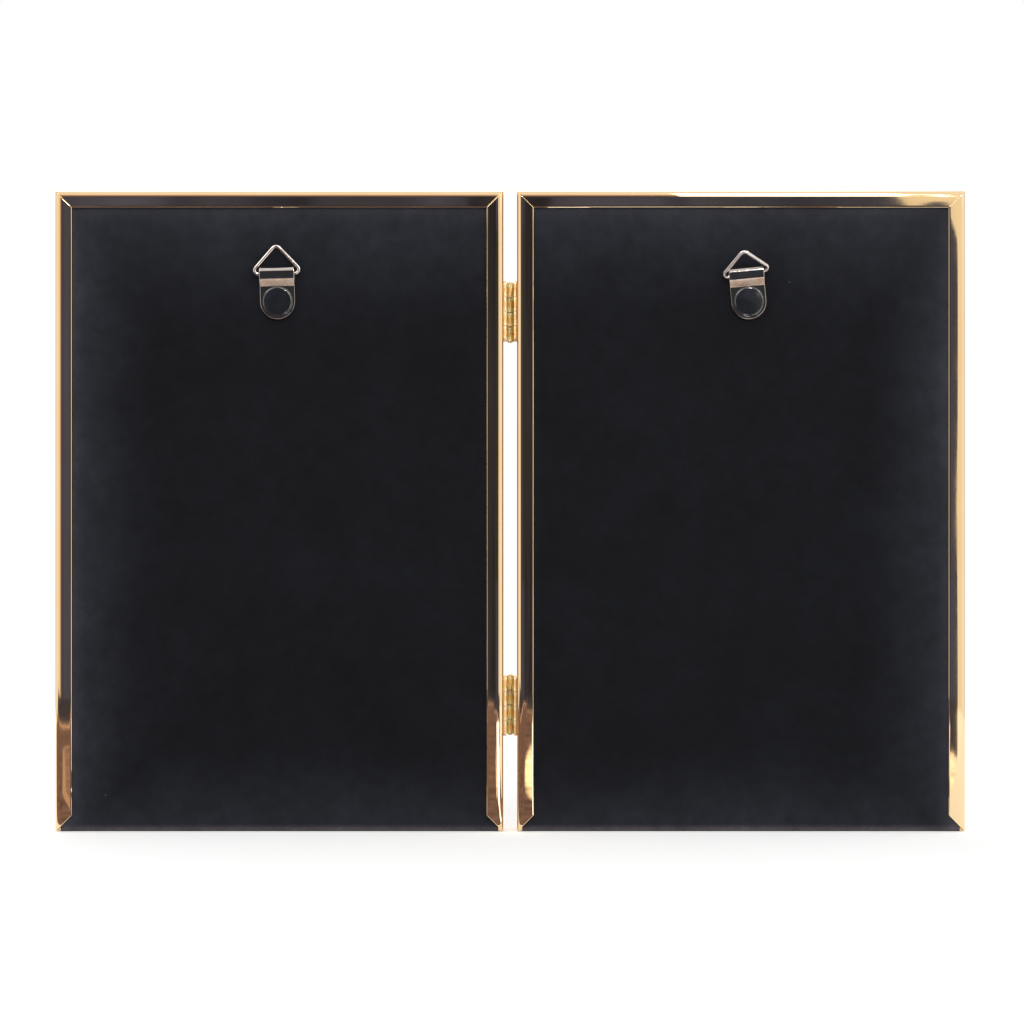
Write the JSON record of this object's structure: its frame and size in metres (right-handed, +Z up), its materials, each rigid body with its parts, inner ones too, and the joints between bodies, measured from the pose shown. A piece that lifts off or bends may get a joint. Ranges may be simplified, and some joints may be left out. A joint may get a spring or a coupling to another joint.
{
  "type": "double photo frame",
  "caption": "Hinged double picture frame in polished gold metal rail, with glass, velvet-covered back boards that slide out at the bottom, triangular hanging rings and small butt hinges.",
  "frame": {"origin": "middle of the overall box at its bottom, on the surface the frame stands on; the hinge axis is at x = 0", "axes": "+Z up, +X to the right as seen from the glass side, +Y towards the velvet back"},
  "size_m": [0.2398, 0.0187, 0.1689],
  "materials": {
    "polished_gold": "mirror-polished pale gold plate",
    "hinge_brass": "bright yellow brass",
    "plain_steel": "plain zinc-plated steel",
    "clear_glass": "clear picture glass",
    "insert_card": "plain matt card",
    "grey_card": "grey pulp card",
    "pressed_board": "brown pressed fibre board",
    "black_velvet": "short-pile black velvet",
    "dark_nickel": "glossy dark nickel",
    "black_rivet": "gloss black",
    "bright_nickel": "bright nickel wire"
  },
  "bodies": {
    "right_panel": {"right_top_rail": "polished_gold", "right_bottom_rail": "polished_gold", "right_hinge_rail": "polished_gold", "right_outer_rail": "polished_gold", "right_corner_keys": "plain_steel", "right_glass": "clear_glass", "right_photo_insert": "insert_card", "right_filler_pad": "grey_card", "right_nut_plates": "plain_steel", "right_hinge_screws": "hinge_brass", "upper_hinge_right_leaf": "hinge_brass", "upper_hinge_pin": "hinge_brass", "lower_hinge_right_leaf": "hinge_brass", "lower_hinge_pin": "hinge_brass"},
    "left_panel": {"left_top_rail": "polished_gold", "left_bottom_rail": "polished_gold", "left_hinge_rail": "polished_gold", "left_outer_rail": "polished_gold", "left_corner_keys": "plain_steel", "left_glass": "clear_glass", "left_photo_insert": "insert_card", "left_filler_pad": "grey_card", "left_nut_plates": "plain_steel", "left_hinge_screws": "hinge_brass", "upper_hinge_left_leaf": "hinge_brass", "lower_hinge_left_leaf": "hinge_brass"},
    "right_back": {"right_back_board": "pressed_board", "right_velvet_cover": "black_velvet", "right_hanger_strap": "dark_nickel", "right_hanger_rivet": "black_rivet"},
    "left_back": {"left_back_board": "pressed_board", "left_velvet_cover": "black_velvet", "left_hanger_strap": "dark_nickel", "left_hanger_rivet": "black_rivet"},
    "right_ring": {"right_hanger_ring": "bright_nickel"},
    "left_ring": {"left_hanger_ring": "bright_nickel"}
  },
  "joints": [
    {"name": "panel_fold", "type": "hinge", "parent": "right_panel", "child": "left_panel", "pos_m": [0, -0.00775, 0], "axis": [0, 0, 1], "range_deg": [-8, 180]},
    {"name": "right_board_slide", "type": "slide", "parent": "right_panel", "child": "right_back", "axis": [0, 0, -1], "range_m": [0, 0.167]},
    {"name": "left_board_slide", "type": "slide", "parent": "left_panel", "child": "left_back", "axis": [0, 0, -1], "range_m": [0, 0.167]},
    {"name": "right_ring_swing", "type": "hinge", "parent": "right_back", "child": "right_ring", "pos_m": [0.06144, 0.00423, 0.147], "axis": [-0.9997, 0, 0.0262], "range_deg": [-5, 130]},
    {"name": "left_ring_swing", "type": "hinge", "parent": "left_back", "child": "left_ring", "pos_m": [-0.06215, 0.00423, 0.14697], "axis": [-0.9848, 0, 0.1736], "range_deg": [-45, 90]}
  ]
}
